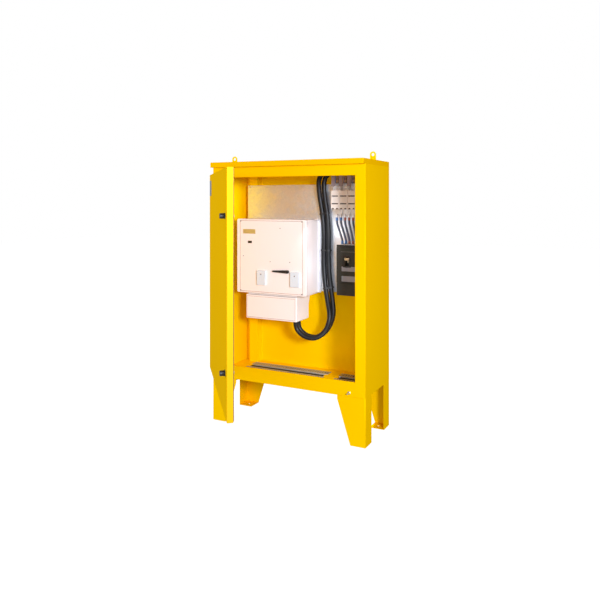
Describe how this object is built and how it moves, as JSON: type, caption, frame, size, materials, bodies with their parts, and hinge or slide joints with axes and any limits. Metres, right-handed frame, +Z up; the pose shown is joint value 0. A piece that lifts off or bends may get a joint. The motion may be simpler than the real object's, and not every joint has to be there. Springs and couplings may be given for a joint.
{
  "type": "electrical connection cabinet",
  "caption": "Sheet-steel pedestal cabinet on legs with an open hinged door, a metering box, fuse base and circuit breaker on a mounting plate, linked by black conduits.",
  "frame": {"origin": "on the ground, in the middle of the four anchor holes in the feet", "axes": "+X to the right seen from the front, +Y from the front to the back, +Z up"},
  "size_m": [1.0082, 1.1827, 1.631],
  "materials": {
    "yellow_paint": "semi-gloss powder coat",
    "galvanised_sheet": "galvanised",
    "bright_steel": "zinc-plated",
    "black_plastic": "satin",
    "cream_plastic": "satin moulded",
    "light_grey_plastic": "satin moulded",
    "clear_window": "clear",
    "gold_label": "anodised foil",
    "plate_blank": "satin",
    "conduit_black": "satin sheath",
    "fuse_beige": "moulded",
    "tinned_copper": "tinned",
    "cable_black": "satin",
    "sleeve_colour": "heat-shrunk",
    "breaker_dark": "moulded",
    "grey_rubber": "matt"
  },
  "bodies": {
    "cabinet": {"side_panel_left": "yellow_paint", "side_panel_right": "yellow_paint", "top_rail": "yellow_paint", "bottom_rail": "yellow_paint", "back_panel": "yellow_paint", "floor_panel": "yellow_paint", "top_sheet": "yellow_paint", "roof_tray": "yellow_paint", "lifting_lug_left": "yellow_paint", "lifting_lug_right": "yellow_paint", "leg_front_left": "yellow_paint", "leg_front_right": "yellow_paint", "leg_rear_left": "yellow_paint", "leg_rear_right": "yellow_paint", "leg_bolts": "bright_steel", "upright_left": "yellow_paint", "upright_right": "yellow_paint", "mounting_plate": "galvanised_sheet", "plate_screws": "bright_steel", "cable_rails_left": "galvanised_sheet", "cable_rails_right": "galvanised_sheet", "earth_stud": "bright_steel", "hinge_brackets": "bright_steel", "hinge_pins": "bright_steel", "meter_bracket": "galvanised_sheet", "meter_box_base": "cream_plastic", "meter_box_lid": "cream_plastic", "sight_window": "clear_window", "meter_label": "gold_label", "seal_blocks": "light_grey_plastic", "lid_screws": "bright_steel", "terminal_cover": "cream_plastic", "conduit_front": "conduit_black", "conduit_rear": "conduit_black", "conduit_ties": "black_plastic", "conduit_bushings": "black_plastic", "fuse_base": "fuse_beige", "fuse_covers": "fuse_beige", "fuse_contacts": "tinned_copper", "inlet_boots": "grey_rubber", "cable_lugs": "tinned_copper", "power_cables": "cable_black", "cable_sleeves": "sleeve_colour", "breaker_case": "breaker_dark", "breaker_cover": "breaker_dark", "breaker_terminal_covers": "breaker_dark"},
    "door": {"door_panel": "yellow_paint", "door_gasket": "black_plastic", "door_stiffeners": "yellow_paint", "door_plate": "plate_blank", "hinge_leaves": "bright_steel", "lock_housing_lower": "black_plastic", "lock_housing_upper": "black_plastic", "lock_nuts": "bright_steel"},
    "lock_lower": {"lock_insert_lower": "bright_steel", "lock_cam_lower": "bright_steel"},
    "lock_upper": {"lock_insert_upper": "bright_steel", "lock_cam_upper": "bright_steel"},
    "main_switch": {"switch_lever": "black_plastic"},
    "breaker_toggle": {"breaker_lever": "black_plastic"}
  },
  "joints": [
    {"name": "door_hinge", "type": "hinge", "parent": "cabinet", "child": "door", "pos_m": [-0.491, -0.2175, 0.9155], "axis": [0, 0, -1], "range_deg": [-50.4, 59.6]},
    {"name": "lower_lock", "type": "hinge", "parent": "door", "child": "lock_lower", "pos_m": [0.08651, -0.91558, 0.538], "axis": [0.7705, 0.6374, 0], "range_deg": [0, 90]},
    {"name": "upper_lock", "type": "hinge", "parent": "door", "child": "lock_upper", "pos_m": [0.08651, -0.91558, 1.277], "axis": [0.7705, 0.6374, 0], "range_deg": [0, 90]},
    {"name": "main_switch_lever", "type": "hinge", "parent": "cabinet", "child": "main_switch", "pos_m": [-0.062, -0.04, 0.915], "axis": [0, 1, 0], "range_deg": [0, 90]},
    {"name": "breaker_lever", "type": "hinge", "parent": "cabinet", "child": "breaker_toggle", "pos_m": [0.29625, 0.072, 0.988], "axis": [1, 0, 0], "range_deg": [0, 40]}
  ]
}
